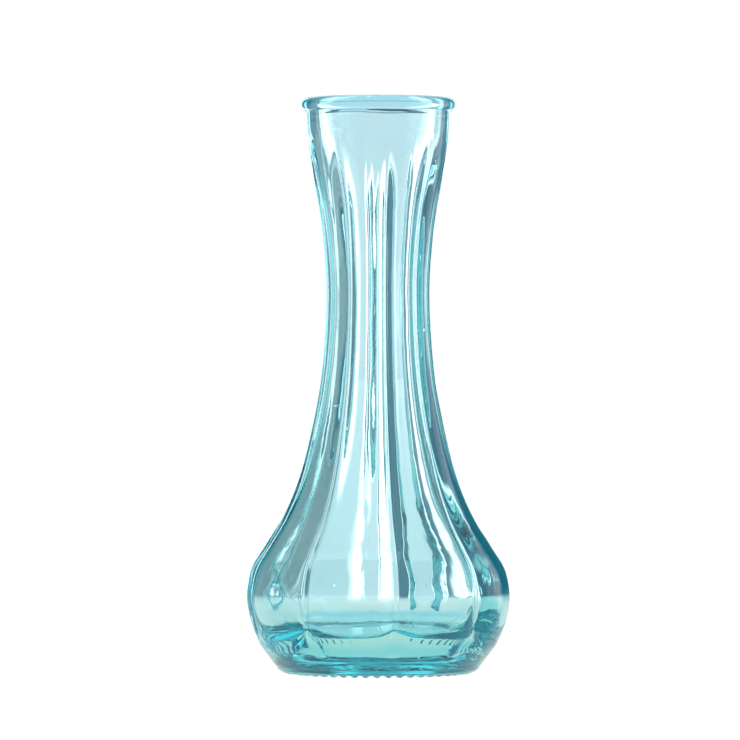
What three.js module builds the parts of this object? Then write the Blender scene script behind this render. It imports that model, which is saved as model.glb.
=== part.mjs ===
// Glass bud vase, 160 mm tall: a gadrooned bulb with eight lobes, a waisted neck that the lobes run up as
// scooped flutes, a plain collar and a rolled bead at the mouth, standing on a ring at the edge of a thick
// foot. The whole vase is one piece of glass, so it is one mesh. Millimetres, +Z up, the foot rests on Z = 0
// and the axis is Z.
import * as THREE from "three";

// Driving dimensions
const HEIGHT = 160;
const MOUTH_RADIUS = 21.65;
const BULB_RADIUS = 36.9;
const NECK_RADIUS = 15.05;
const COLLAR_RADIUS = 20;
const COLLAR_TOP = 156.2;
const FOOT_RADIUS = 28.7;
const FOOT_HEIGHT = 2;

// Lobes: crests on +X and every 45 degrees, with a narrow crease between each two
const LOBE_COUNT = 8;
const LOBE_FULLNESS = 5; // 2 is a round lobe; more is flatter at the crest and steeper at the crease
const CREASE_SOFTNESS = 0.08; // the rounded bottom of a crease, as a share of half a lobe
const CREASE_DEPTH = 0.11; // as a share of the crest's radius
const NECK_CREASE_DEPTH = 0.16;
const CREASE_FULL_FROM = 15;
const CREASE_DEEPENS_FROM = 30;
const CREASE_DEEPEST_FROM = 75;
const CREASE_FADES_FROM = 128;
const CREASE_ENDS_AT = 151;

// Above the bulb each lobe is scooped along its middle
const SCOOP_DEPTH = 0.05; // as a share of the crest's radius
const SCOOP_STARTS_AT = 36;
const SCOOP_FULL_FROM = 75;

// The lobes end on the foot's cone in scallops, lowest at each crest
const CONE_SLOPE = 0.72; // millimetres out for each millimetre up
const SCALLOP_BASE = 6.3;
const SCALLOP_RISE = 1;

// The inside is rounder than the outside, so the wall is thickest at the crests
const INNER_CREASE_DEPTH = 0.05;
const NECK_INNER_RADIUS = 10.9;
const BULB_WALL = 4.7;
const FLOOR_HEIGHT = 7.3;

// Underside
const REST_INNER_RADIUS = 23.4;
const REST_OUTER_RADIUS = 26.6;
const KICK_HEIGHT = 1.3;

const FACETS_PER_LOBE = 10;
const FACET_CROWDING = 1.6; // above 1 the facets are narrower beside a crease
const OUTER_STATIONS = 30;
const INNER_STATIONS = 24;
const BEAD_STATIONS = 8;

// A station is one ring of the section: the crest's radius and height, how far inside the crest the crease
// lies and how far above it, and how deep the scoop along the crest is.
const station = (radius, height, inset = 0, lift = 0, scoop = 0) => ({ radius, height, inset, lift, scoop });

const rising = (value, from, to) => THREE.MathUtils.smoothstep(value, from, to);
const fadeAtCollar = (height) => 1 - rising(height, CREASE_FADES_FROM, CREASE_ENDS_AT);
const curveThrough = (points) => new THREE.SplineCurve(points.map(([r, z]) => new THREE.Vector2(r, z)));

function underside() {
  return [
    station(0, KICK_HEIGHT),
    station(12, KICK_HEIGHT - 0.1),
    station(20, KICK_HEIGHT - 0.3),
    station(REST_INNER_RADIUS - 0.8, 0.6),
    station(REST_INNER_RADIUS, 0),
    station(REST_OUTER_RADIUS, 0),
    station(FOOT_RADIUS - 0.9, 0.5),
    station(FOOT_RADIUS - 0.3, 1.2),
    station(FOOT_RADIUS, FOOT_HEIGHT),
  ];
}

function outerWall() {
  const crest = curveThrough([
    [FOOT_RADIUS + CONE_SLOPE * (SCALLOP_BASE - FOOT_HEIGHT), SCALLOP_BASE],
    [33.3, 8.5],
    [35.8, 14.6],
    [BULB_RADIUS, 21.5],
    [35.6, 29],
    [31.4, 36],
    [26.7, 43.8],
    [22.45, 54.6],
    [18.8, 70],
    [16.2, 85.5],
    [NECK_RADIUS, 105.5],
    [16.2, 122.8],
    [18.25, 136.4],
    [19.55, 147.8],
    [COLLAR_RADIUS, COLLAR_TOP - 1.7],
    [COLLAR_RADIUS, COLLAR_TOP],
  ]);
  return crest.getPoints(OUTER_STATIONS).map(({ x: radius, y: height }) => {
    const formed = rising(height, SCALLOP_BASE, CREASE_FULL_FROM);
    const lift = SCALLOP_RISE * (1 - formed);
    const deeper = rising(height, CREASE_DEEPENS_FROM, CREASE_DEEPEST_FROM);
    const share = THREE.MathUtils.lerp(CREASE_DEPTH, NECK_CREASE_DEPTH, deeper);
    const crease = share * radius * formed * fadeAtCollar(height);
    const scooped = rising(height, SCOOP_STARTS_AT, SCOOP_FULL_FROM) * fadeAtCollar(height);
    const scoop = SCOOP_DEPTH * radius * scooped;
    return station(radius, height, crease - CONE_SLOPE * lift, lift, scoop);
  });
}

function bead() {
  const rolled = (HEIGHT - COLLAR_TOP) / 2;
  const outside = MOUTH_RADIUS - rolled;
  const inside = MOUTH_RADIUS - rolled - 0.4;
  const middle = HEIGHT - rolled;
  const stations = [];
  for (let i = 1; i <= BEAD_STATIONS; i++) {
    const turn = -Math.PI / 2 + (Math.PI * i) / BEAD_STATIONS;
    stations.push(station(outside + rolled * Math.cos(turn), middle + rolled * Math.sin(turn)));
  }
  for (let i = 1; i <= BEAD_STATIONS / 2; i++) {
    const turn = Math.PI / 2 + (Math.PI / 2) * (i / (BEAD_STATIONS / 2));
    stations.push(station(inside + rolled * Math.cos(turn), middle + rolled * Math.sin(turn)));
  }
  return stations;
}

function innerWall() {
  const face = curveThrough([
    [17.3, 155],
    [16.5, 147.8],
    [14.1, 136.4],
    [12, 122.8],
    [NECK_INNER_RADIUS, 105.5],
    [11.9, 85.5],
    [14.2, 69],
    [17.9, 53.4],
    [22, 43],
    [26.6, 35],
    [30.4, 28],
    [BULB_RADIUS - BULB_WALL, 21.5],
    [30.2, 15],
    [25.8, 10.6],
    [19, FLOOR_HEIGHT + 0.4],
    [10, FLOOR_HEIGHT],
  ]);
  return face.getPoints(INNER_STATIONS).map(({ x: radius, y: height }) => {
    const formed = rising(height, FLOOR_HEIGHT, FLOOR_HEIGHT + 3);
    return station(radius, height, INNER_CREASE_DEPTH * radius * formed * fadeAtCollar(height));
  });
}

// How much of a crease's depth is reached at a place in the lobe, where 0 is the crest and 1 the crease
function creaseShare(place) {
  const rounding = Math.max(place - 1 + CREASE_SOFTNESS, 0) ** 2 / (2 * CREASE_SOFTNESS);
  return place ** LOBE_FULLNESS - LOBE_FULLNESS * rounding;
}

// The section is turned about the axis, its columns are crowded towards the creases, and each ring's vertices
// are drawn in to make the creases and scoops.
function vaseGeometry() {
  const stations = [...underside(), ...outerWall(), ...bead(), ...innerWall(), station(0, FLOOR_HEIGHT)];
  const section = stations.map(({ radius, height }) => new THREE.Vector2(radius, height));
  const geometry = new THREE.LatheGeometry(section, LOBE_COUNT * FACETS_PER_LOBE);
  geometry.rotateX(Math.PI / 2);
  const position = geometry.getAttribute("position");
  for (let i = 0; i < position.count; i++) {
    const { radius, height, inset, lift, scoop } = stations[i % stations.length];
    const lobe = (Math.atan2(position.getY(i), position.getX(i)) * LOBE_COUNT) / (2 * Math.PI);
    const crest = Math.round(lobe);
    const place = 1 - (1 - Math.min(2 * Math.abs(lobe - crest), 1)) ** FACET_CROWDING;
    const turn = ((crest + (Math.sign(lobe - crest) * place) / 2) * 2 * Math.PI) / LOBE_COUNT;
    const share = creaseShare(place);
    const r = radius - inset * share - scoop * (1 - place ** 2);
    position.setXYZ(i, r * Math.cos(turn), r * Math.sin(turn), height + lift * share);
  }
  return geometry;
}

const aquaGlass = new THREE.MeshStandardMaterial({
  color: 0x9fdce6,
  roughness: 0.04,
  metalness: 0,
  transparent: true,
  opacity: 0.45,
});

const vaseBody = new THREE.Mesh(vaseGeometry(), aquaGlass);
vaseBody.name = "vase_body";

const budVase = new THREE.Group();
budVase.add(vaseBody);

export default budVase;
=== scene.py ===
import math

import bpy
import numpy as np
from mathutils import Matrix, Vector


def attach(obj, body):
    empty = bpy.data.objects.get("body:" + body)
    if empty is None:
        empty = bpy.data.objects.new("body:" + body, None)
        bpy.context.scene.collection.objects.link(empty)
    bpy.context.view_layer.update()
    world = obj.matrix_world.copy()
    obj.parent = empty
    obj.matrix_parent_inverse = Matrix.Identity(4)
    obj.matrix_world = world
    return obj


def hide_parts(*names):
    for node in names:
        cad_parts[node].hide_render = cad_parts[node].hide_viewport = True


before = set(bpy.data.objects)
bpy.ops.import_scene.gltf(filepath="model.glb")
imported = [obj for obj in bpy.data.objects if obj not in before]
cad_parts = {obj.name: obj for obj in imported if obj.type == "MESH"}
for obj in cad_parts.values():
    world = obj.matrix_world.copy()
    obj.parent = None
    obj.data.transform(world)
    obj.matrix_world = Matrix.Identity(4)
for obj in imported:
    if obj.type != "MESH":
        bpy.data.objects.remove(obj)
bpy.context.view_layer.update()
MM = 0.001

# --------------------------------------------------------------------------------------------------
# VASE BODY
# One piece of glass, pressed and then blown in a mould: eight lobes that run up the neck as scooped flutes and
# fade out under a plain collar, a rolled bead at the mouth, and a thick foot on a ring of small nubs.

LOBES = 8
NUBS = 52
COLUMNS = 8 * NUBS  # eight columns to each nub, and a whole number to each lobe

HEIGHT = 160.0
BULB_RADIUS = 36.88
NECK_RADIUS = 15.05
COLLAR_RADIUS = 20.0
COLLAR_TOP = 156.2
MOUTH_RADIUS = 21.6
FOOT_RADIUS = 28.7
FOOT_HEIGHT = 2.0
LAP_HEIGHTS = (153.2, 154.9)  # two faint laps under the bead
LAP_DEPTH = 0.05
LAP_WIDTH = 0.5
REST_INNER_RADIUS = 23.4
REST_OUTER_RADIUS = 26.6
NUB_DEPTH = 0.6
KICK_HEIGHT = 1.3
FLOOR_HEIGHT = 7.3
NECK_INNER_RADIUS = 10.9
BULB_WALL = 4.7

CREASE_DEPTH = 0.11
NECK_CREASE_DEPTH = 0.16
LOBE_FULLNESS = 5.0
CREASE_SOFTNESS = 0.08
CREASE_FULL_FROM = 15.0
CREASE_DEEPENS_FROM = 30.0
CREASE_DEEPEST_FROM = 75.0
CREASE_FADES_FROM = 128.0
CREASE_ENDS_AT = 151.0
INNER_CREASE_DEPTH = 0.05
SCOOP_DEPTH = 0.05
SCOOP_STARTS_AT = 36.0
SCOOP_FULL_FROM = 75.0
CONE_SLOPE = 0.72
SCALLOP_BASE = 6.3
SCALLOP_RISE = 1.0

# how strongly the skin is tinted, from 0 to 1
WALL_TINT = 0.1
SCALLOP_TINT = 0.75
COLLAR_TINT = 0.12
CONE_TINT = 0.6
FLOOR_TINT = 0.95
BEAD_TINT = 0.45


def smoothstep(value, start, end):
    t = np.clip((np.asarray(value, float) - start) / (end - start), 0.0, 1.0)
    return t * t * (3.0 - 2.0 * t)


def curve_through(points, steps):
    """A smooth curve through the points, as arrays of radius and height."""
    p = np.array([points[0]] + list(points) + [points[-1]], float)
    out = []
    for i in range(1, len(p) - 2):
        for t in np.linspace(0.0, 1.0, steps, endpoint=False):
            a, b, c, d = p[i - 1], p[i], p[i + 1], p[i + 2]
            out.append(
                b
                + 0.5 * t * (c - a)
                + t * t * (a - 2.5 * b + 2.0 * c - 0.5 * d)
                + t * t * t * (1.5 * b - 0.5 * a - 1.5 * c + 0.5 * d)
            )
    out.append(p[-2])
    return np.array(out)


def arc(centre, radius, start, end, steps):
    """Points on an arc, from start to end in degrees, without its first point."""
    turn = np.radians(np.linspace(start, end, steps + 1))[1:]
    return np.stack([centre[0] + radius * np.cos(turn), centre[1] + radius * np.sin(turn)], axis=1)


outer_wall = curve_through(
    [
        (FOOT_RADIUS + CONE_SLOPE * (SCALLOP_BASE - FOOT_HEIGHT), SCALLOP_BASE),
        (33.3, 8.5),
        (35.8, 14.6),
        (BULB_RADIUS, 21.5),
        (35.6, 29.0),
        (31.4, 36.0),
        (26.7, 43.8),
        (22.45, 54.6),
        (18.8, 70.0),
        (16.2, 85.5),
        (NECK_RADIUS, 105.5),
        (16.2, 122.8),
        (18.25, 136.4),
        (19.55, 147.8),
        (19.8, 151.5),
        (COLLAR_RADIUS, COLLAR_TOP - 1.7),
        (COLLAR_RADIUS, COLLAR_TOP),
    ],
    6,
)
inner_wall = curve_through(
    [
        (17.3, 155.0),
        (16.5, 147.8),
        (14.1, 136.4),
        (12.0, 122.8),
        (NECK_INNER_RADIUS, 105.5),
        (11.9, 85.5),
        (14.2, 69.0),
        (17.9, 53.4),
        (22.0, 43.0),
        (26.6, 35.0),
        (30.4, 28.0),
        (BULB_RADIUS - BULB_WALL, 21.5),
        (30.2, 15.0),
        (25.8, 10.6),
        (19.0, FLOOR_HEIGHT + 0.4),
        (10.0, FLOOR_HEIGHT),
    ],
    5,
)
underside = curve_through(
    [
        (1.5, KICK_HEIGHT),
        (12.0, KICK_HEIGHT - 0.1),
        (20.0, KICK_HEIGHT - 0.3),
        (REST_INNER_RADIUS, NUB_DEPTH),
    ],
    6,
)
nub_row = curve_through(
    [
        (REST_INNER_RADIUS + 0.3, NUB_DEPTH * 0.7),
        (REST_INNER_RADIUS + 1.0, 0.12),
        (25.0, 0.0),
        (REST_OUTER_RADIUS - 0.3, 0.1),
        (27.4, 0.65),
        (28.1, 1.2),
        (28.4, 1.7),
    ],
    4,
)
foot_cone = np.array(
    [
        (FOOT_RADIUS - 0.25, FOOT_HEIGHT - 0.1),
        (FOOT_RADIUS, FOOT_HEIGHT + 0.1),
        (FOOT_RADIUS + 0.12, FOOT_HEIGHT + 0.25),
        (FOOT_RADIUS + CONE_SLOPE * 1.4, FOOT_HEIGHT + 1.4),
        (FOOT_RADIUS + CONE_SLOPE * 2.6, FOOT_HEIGHT + 2.6),
        (FOOT_RADIUS + CONE_SLOPE * 3.6, FOOT_HEIGHT + 3.6),
        (FOOT_RADIUS + CONE_SLOPE * 4.0, FOOT_HEIGHT + 4.0),
    ]
)
ROLL = (HEIGHT - COLLAR_TOP) / 2
bead = np.concatenate(
    [
        arc((MOUTH_RADIUS - ROLL, HEIGHT - ROLL), ROLL, -90, 90, 20),
        arc((MOUTH_RADIUS - ROLL - 0.4, HEIGHT - ROLL), ROLL, 90, 185, 12),
    ]
)

rings = []
for name, points in (
    ("underside", underside),
    ("nubs", nub_row),
    ("cone", foot_cone),
    ("outer", outer_wall),
    ("bead", bead),
    ("inner", inner_wall),
):
    for radius, height in points:
        inset = lift = nub = coat = 0.0
        deeper = smoothstep(height, CREASE_DEEPENS_FROM, CREASE_DEEPEST_FROM)
        if name == "outer":
            formed = smoothstep(height, SCALLOP_BASE, CREASE_FULL_FROM)
            lift = SCALLOP_RISE * (1.0 - formed)
            low_down = 1.0 - smoothstep(height, SCALLOP_BASE + 1.0, SCALLOP_BASE + 5.0)
            coat = WALL_TINT + SCALLOP_TINT * low_down + COLLAR_TINT * smoothstep(height, 130.0, 150.0)
            crease = CREASE_DEPTH + (NECK_CREASE_DEPTH - CREASE_DEPTH) * deeper
            inset = radius * formed * crease - CONE_SLOPE * lift
        elif name == "cone":
            lift = SCALLOP_RISE * smoothstep(height, FOOT_HEIGHT + 2.0, SCALLOP_BASE)
            coat = CONE_TINT * smoothstep(height, FOOT_HEIGHT + 2.0, SCALLOP_BASE)
            inset = -CONE_SLOPE * lift
        elif name == "inner":
            formed = smoothstep(height, FLOOR_HEIGHT, FLOOR_HEIGHT + 3.0)
            coat = FLOOR_TINT * (1.0 - smoothstep(height, FLOOR_HEIGHT, FLOOR_HEIGHT + 6.0))
            inset = radius * formed * INNER_CREASE_DEPTH
        elif name == "bead":
            coat = BEAD_TINT
        elif name == "nubs":
            nub = NUB_DEPTH * (1.0 - smoothstep(height, 0.0, NUB_DEPTH * 1.6))
        rings.append((radius, height, inset, lift, nub, name == "inner", coat))
rings = np.array(rings)

turn = np.arange(COLUMNS) * 2 * math.pi / COLUMNS
lobe_place = turn * LOBES / (2 * math.pi)
off_crest = 2 * np.abs(lobe_place - np.round(lobe_place))
share = off_crest**LOBE_FULLNESS
share -= LOBE_FULLNESS / 2 * np.clip(off_crest - 1 + CREASE_SOFTNESS, 0, None) ** 2 / CREASE_SOFTNESS
nub_gap = 0.5 - 0.5 * np.cos(turn * NUBS)

base, level = rings[:, 0:1], rings[:, 1:2]
faded = 1.0 - smoothstep(level, CREASE_FADES_FROM, CREASE_ENDS_AT)
faded = np.where(level < CREASE_FULL_FROM, 1.0, faded)
scoop = (1.0 - off_crest**2)[None, :] * base * smoothstep(level, SCOOP_STARTS_AT, SCOOP_FULL_FROM)
scoop *= SCOOP_DEPTH * (1.0 - rings[:, 5:6])
radius = base - (rings[:, 2:3] * share[None, :] + scoop) * faded
wander = 0.25 * np.sin(3 * turn + 0.4) + 0.15 * np.sin(7 * turn + 1.0)
for lap in LAP_HEIGHTS:
    lapped = np.exp(-(((level - lap - wander[None, :]) / LAP_WIDTH) ** 2))
    radius = radius - LAP_DEPTH * lapped * (1.0 - rings[:, 5:6])
height = level + rings[:, 3:4] * share[None, :] + rings[:, 4:5] * nub_gap[None, :]
height = np.maximum(height, 0.0)
points = np.stack([radius * np.cos(turn), radius * np.sin(turn), height], axis=2).reshape(-1, 3) * MM

mesh = bpy.data.meshes.new("vase_body")
ring_count = len(rings)
faces = []
for i in range(ring_count - 1):
    low, high = i * COLUMNS, (i + 1) * COLUMNS
    for j in range(COLUMNS):
        k = (j + 1) % COLUMNS
        faces.append((low + j, low + k, high + k, high + j))
under_hub = len(points)
floor_hub = under_hub + 1
last = (ring_count - 1) * COLUMNS
for j in range(COLUMNS):
    k = (j + 1) % COLUMNS
    faces.append((under_hub, k, j))
    faces.append((floor_hub, last + j, last + k))
all_points = np.concatenate([points, [[0, 0, KICK_HEIGHT * MM], [0, 0, FLOOR_HEIGHT * MM]]])
mesh.from_pydata(all_points.tolist(), [], faces)
mesh.update()
mesh.shade_smooth()

skin = mesh.attributes.new("colour_depth", "FLOAT", "POINT")
depth = np.repeat(rings[:, 6], COLUMNS)
skin.data.foreach_set("value", np.concatenate([depth, [0.0, FLOOR_TINT]]))

vase = bpy.data.objects.new("vase_body_glass", mesh)
bpy.context.scene.collection.objects.link(vase)

RIPPLE_DEPTH = 0.12
GRAIN_SHARE = 0.02
SKIN_TINT = (0.18, 0.72, 0.93, 1.0)
GLASS_COLOUR = (0.05, 0.78, 0.82, 1.0)
GLASS_DENSITY = 54.0
GLASS_IOR = 1.52

glass = bpy.data.materials.new("aqua_glass")
glass.use_nodes = True
nodes, links = glass.node_tree.nodes, glass.node_tree.links
shader = nodes["Principled BSDF"]
shader.inputs["Transmission Weight"].default_value = 1.0
shader.inputs["Metallic"].default_value = 0.0
shader.inputs["IOR"].default_value = GLASS_IOR
skin_depth = nodes.new("ShaderNodeAttribute")
skin_depth.attribute_name = "colour_depth"
tint = nodes.new("ShaderNodeMix")
tint.data_type = "RGBA"
tint.inputs["A"].default_value = (1.0, 1.0, 1.0, 1.0)
tint.inputs["B"].default_value = SKIN_TINT
links.new(skin_depth.outputs["Fac"], tint.inputs["Factor"])
links.new(tint.outputs["Result"], shader.inputs["Base Color"])
place = nodes.new("ShaderNodeTexCoord")
patches = nodes.new("ShaderNodeTexNoise")
patches.inputs["Scale"].default_value = 45.0
patches.inputs["Detail"].default_value = 3.0
links.new(place.outputs["Object"], patches.inputs["Vector"])
haze = nodes.new("ShaderNodeMapRange")
haze.inputs["From Min"].default_value = 0.45
haze.inputs["From Max"].default_value = 0.8
haze.inputs["To Max"].default_value = 0.03
links.new(patches.outputs["Fac"], haze.inputs["Value"])
links.new(haze.outputs["Result"], shader.inputs["Roughness"])
drawn = nodes.new("ShaderNodeMapping")
drawn.inputs["Scale"].default_value = (1.0, 1.0, 0.3)
links.new(place.outputs["Object"], drawn.inputs["Vector"])
ripple = nodes.new("ShaderNodeTexNoise")
ripple.inputs["Scale"].default_value = 130.0
ripple.inputs["Detail"].default_value = 2.0
links.new(drawn.outputs["Vector"], ripple.inputs["Vector"])
grain = nodes.new("ShaderNodeTexNoise")
grain.inputs["Scale"].default_value = 1100.0
grain.inputs["Detail"].default_value = 1.0
links.new(place.outputs["Object"], grain.inputs["Vector"])
chill = nodes.new("ShaderNodeMath")
chill.operation = "MULTIPLY_ADD"
chill.inputs[1].default_value = GRAIN_SHARE
links.new(grain.outputs["Fac"], chill.inputs[0])
links.new(ripple.outputs["Fac"], chill.inputs[2])
cells = nodes.new("ShaderNodeTexVoronoi")
cells.inputs["Scale"].default_value = 90.0
links.new(place.outputs["Object"], cells.inputs["Vector"])
seeds = nodes.new("ShaderNodeMapRange")
seeds.inputs["From Min"].default_value = 0.0
seeds.inputs["From Max"].default_value = 0.04
seeds.inputs["To Min"].default_value = 1.2
seeds.inputs["To Max"].default_value = 0.0
links.new(cells.outputs["Distance"], seeds.inputs["Value"])
pitted = nodes.new("ShaderNodeMath")
pitted.operation = "SUBTRACT"
links.new(chill.outputs["Value"], pitted.inputs[0])
links.new(seeds.outputs["Result"], pitted.inputs[1])
bump = nodes.new("ShaderNodeBump")
bump.inputs["Strength"].default_value = 1.0
bump.inputs["Distance"].default_value = RIPPLE_DEPTH * MM
links.new(pitted.outputs["Value"], bump.inputs["Height"])
links.new(bump.outputs["Normal"], shader.inputs["Normal"])
body = nodes.new("ShaderNodeVolumeAbsorption")
body.inputs["Color"].default_value = GLASS_COLOUR
body.inputs["Density"].default_value = GLASS_DENSITY
links.new(body.outputs["Volume"], nodes["Material Output"].inputs["Volume"])
vase.data.materials.append(glass)

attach(vase, "root")
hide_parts("vase_body")

# --------------------------------------------------------------------------------------------------
# STUDIO
# Not part of the vase. The camera sees a plain white table and background; the glass sees a banded room with
# soft boxes, blue-green cards and a table that glows with painted light, with painted shade under the foot,
# which give it most of its streaks.

scene = bpy.context.scene
scene.view_settings.view_transform = "Standard"
LIGHT_BOUNCES = 40  # light runs along inside the wall, and goes black if it is stopped early
scene.cycles.max_bounces = LIGHT_BOUNCES
scene.cycles.transmission_bounces = LIGHT_BOUNCES
scene.cycles.glossy_bounces = LIGHT_BOUNCES

CAMERA_AZIMUTH = 14.5
SWEEP = (0.78, 0.86, 0.9)
SOFT_BOX = (1.98, 1.98, 1.98)
CARD = (0.02, 0.15, 0.22)
SHADE = (0.3, 0.38, 0.4)
WALLS = (0.95, 0.95, 0.95)
PLAIN_WHITE = (0.5, 0.5, 0.5, 1)  # half of white, doubled by the strength
LIGHT_STRENGTH = 2.0
# painted floor light near the vase, seen only by rays that have passed through the glass: painted shade under
# the foot and round it
PAINTED_LIGHT_UNDER_FOOT = (0.47, 0.46, 0.4, 1)
PAINTED_LIGHT_ROUND_FOOT = (0.4, 0.43, 0.41, 1)
# what stands round the vase, by bearing in degrees: 0 is straight behind it and positive is to its right
ROOM = ((-180, WALLS), (-72, WALLS), (-66, SHADE), (-44, SHADE), (-38, CARD), (-25, CARD), (-21, SOFT_BOX),
        (-12, SOFT_BOX), (-8, SWEEP), (8, SWEEP), (11, SOFT_BOX), (15, SOFT_BOX), (19, CARD), (42, CARD),
        (56, SOFT_BOX), (120, SOFT_BOX), (132, WALLS), (180, WALLS))

room = bpy.data.node_groups.new("room_light", "ShaderNodeTree")
room.interface.new_socket("Direction", in_out="INPUT", socket_type="NodeSocketVector")
room.interface.new_socket("Brightness", in_out="OUTPUT", socket_type="NodeSocketColor")
rn, rl = room.nodes, room.links
room_in = rn.new("NodeGroupInput")
room_out = rn.new("NodeGroupOutput")
spin = rn.new("ShaderNodeVectorRotate")
spin.rotation_type = "Z_AXIS"
spin.inputs["Angle"].default_value = math.radians(-CAMERA_AZIMUTH)
rl.new(room_in.outputs["Direction"], spin.inputs["Vector"])
split = rn.new("ShaderNodeSeparateXYZ")
rl.new(spin.outputs["Vector"], split.inputs["Vector"])
bearing = rn.new("ShaderNodeMath")
bearing.operation = "ARCTAN2"
rl.new(split.outputs["X"], bearing.inputs[0])
rl.new(split.outputs["Y"], bearing.inputs[1])
scaled = rn.new("ShaderNodeMath")
scaled.operation = "MULTIPLY_ADD"
scaled.inputs[1].default_value = 0.5 / math.pi
scaled.inputs[2].default_value = 0.5
rl.new(bearing.outputs[0], scaled.inputs[0])
ramp = rn.new("ShaderNodeValToRGB")
elements = ramp.color_ramp.elements
elements.remove(elements[1])
for i, (degrees, colour) in enumerate(ROOM):
    mark = degrees / 360 + 0.5
    element = elements[0] if i == 0 else elements.new(mark)
    element.position = mark
    element.color = [c / 2 for c in colour] + [1]
rl.new(scaled.outputs[0], ramp.inputs["Fac"])
above = rn.new("ShaderNodeMapRange")
above.interpolation_type = "SMOOTHSTEP"
above.inputs["From Min"].default_value = 0.35
above.inputs["From Max"].default_value = 0.75
rl.new(split.outputs["Z"], above.inputs["Value"])
lid = rn.new("ShaderNodeMix")
lid.data_type = "RGBA"
lid.inputs["B"].default_value = PLAIN_WHITE
rl.new(above.outputs["Result"], lid.inputs["Factor"])
rl.new(ramp.outputs["Color"], lid.inputs["A"])
rl.new(lid.outputs["Result"], room_out.inputs["Brightness"])

world = bpy.data.worlds.new("studio")
scene.world = world
world.use_nodes = True
wn, wl = world.node_tree.nodes, world.node_tree.links
background = wn["Background"]
where = wn.new("ShaderNodeTexCoord")
around = wn.new("ShaderNodeGroup")
around.node_tree = room
wl.new(where.outputs["Generated"], around.inputs["Direction"])
ray = wn.new("ShaderNodeLightPath")
pick = wn.new("ShaderNodeMix")
pick.data_type = "RGBA"
pick.inputs["B"].default_value = PLAIN_WHITE
wl.new(ray.outputs["Is Camera Ray"], pick.inputs["Factor"])
wl.new(around.outputs["Brightness"], pick.inputs["A"])
wl.new(pick.outputs["Result"], background.inputs["Color"])
background.inputs["Strength"].default_value = LIGHT_STRENGTH

floor_mesh = bpy.data.meshes.new("floor")
floor_mesh.from_pydata([(-3, -3, 0), (3, -3, 0), (3, 3, 0), (-3, 3, 0)], [], [(0, 1, 2, 3)])
floor = bpy.data.objects.new("floor", floor_mesh)
scene.collection.objects.link(floor)
# The floor is no lamp, yet it glows, and its whole look is painted light. The camera sees it plain white; the
# glass sees painted shade under and round the foot, and the room's bands painted across it farther out.
glowing_floor = bpy.data.materials.new("painted_light_floor")
glowing_floor.use_nodes = True
fn, fl = glowing_floor.node_tree.nodes, glowing_floor.node_tree.links
floor_shader = fn["Principled BSDF"]
floor_shader.inputs["Base Color"].default_value = (0.02, 0.02, 0.02, 1)
floor_shader.inputs["Roughness"].default_value = 0.9
spot = fn.new("ShaderNodeTexCoord")
lit = fn.new("ShaderNodeGroup")
lit.node_tree = room
fl.new(spot.outputs["Object"], lit.inputs["Direction"])
seen = fn.new("ShaderNodeLightPath")
glow = fn.new("ShaderNodeMix")
glow.data_type = "RGBA"
glow.inputs["B"].default_value = PLAIN_WHITE
fl.new(seen.outputs["Is Camera Ray"], glow.inputs["Factor"])
reach = fn.new("ShaderNodeVectorMath")
reach.operation = "LENGTH"
fl.new(spot.outputs["Object"], reach.inputs[0])
near = fn.new("ShaderNodeMapRange")
near.interpolation_type = "SMOOTHSTEP"
near.inputs["From Min"].default_value = 0.05
near.inputs["From Max"].default_value = 0.5
fl.new(reach.outputs["Value"], near.inputs["Value"])
spread = fn.new("ShaderNodeMix")
spread.data_type = "RGBA"
under = fn.new("ShaderNodeMapRange")
under.interpolation_type = "SMOOTHSTEP"
under.inputs["From Min"].default_value = 0.03
under.inputs["From Max"].default_value = 0.055
fl.new(reach.outputs["Value"], under.inputs["Value"])
# painted shade on the floor under the foot and round it
close = fn.new("ShaderNodeMix")
close.data_type = "RGBA"
close.inputs["A"].default_value = PAINTED_LIGHT_UNDER_FOOT
close.inputs["B"].default_value = PAINTED_LIGHT_ROUND_FOOT
fl.new(under.outputs["Result"], close.inputs["Factor"])
fl.new(close.outputs["Result"], spread.inputs["A"])
fl.new(near.outputs["Result"], spread.inputs["Factor"])
fl.new(lit.outputs["Brightness"], spread.inputs["B"])
fl.new(spread.outputs["Result"], glow.inputs["A"])
fl.new(glow.outputs["Result"], floor_shader.inputs["Emission Color"])
floor_shader.inputs["Emission Strength"].default_value = LIGHT_STRENGTH
floor_mesh.materials.append(glowing_floor)

EYE_HEIGHT = 0.092
DISTANCE = 1.4
LENS = 244.4
AIM_HEIGHT = 0.08426
AIM_SHIFT = 0.00228
azimuth = math.radians(CAMERA_AZIMUTH)
camera_data = bpy.data.cameras.new("camera")
camera_data.lens = LENS
camera_data.sensor_width = 36
camera = bpy.data.objects.new("camera", camera_data)
scene.collection.objects.link(camera)
camera.location = (DISTANCE * math.sin(azimuth), -DISTANCE * math.cos(azimuth), EYE_HEIGHT)
right = Vector((math.cos(azimuth), math.sin(azimuth), 0))
aim = Vector((0, 0, AIM_HEIGHT)) - AIM_SHIFT * right
camera.rotation_euler = (aim - camera.location).to_track_quat("-Z", "Y").to_euler()
scene.camera = camera
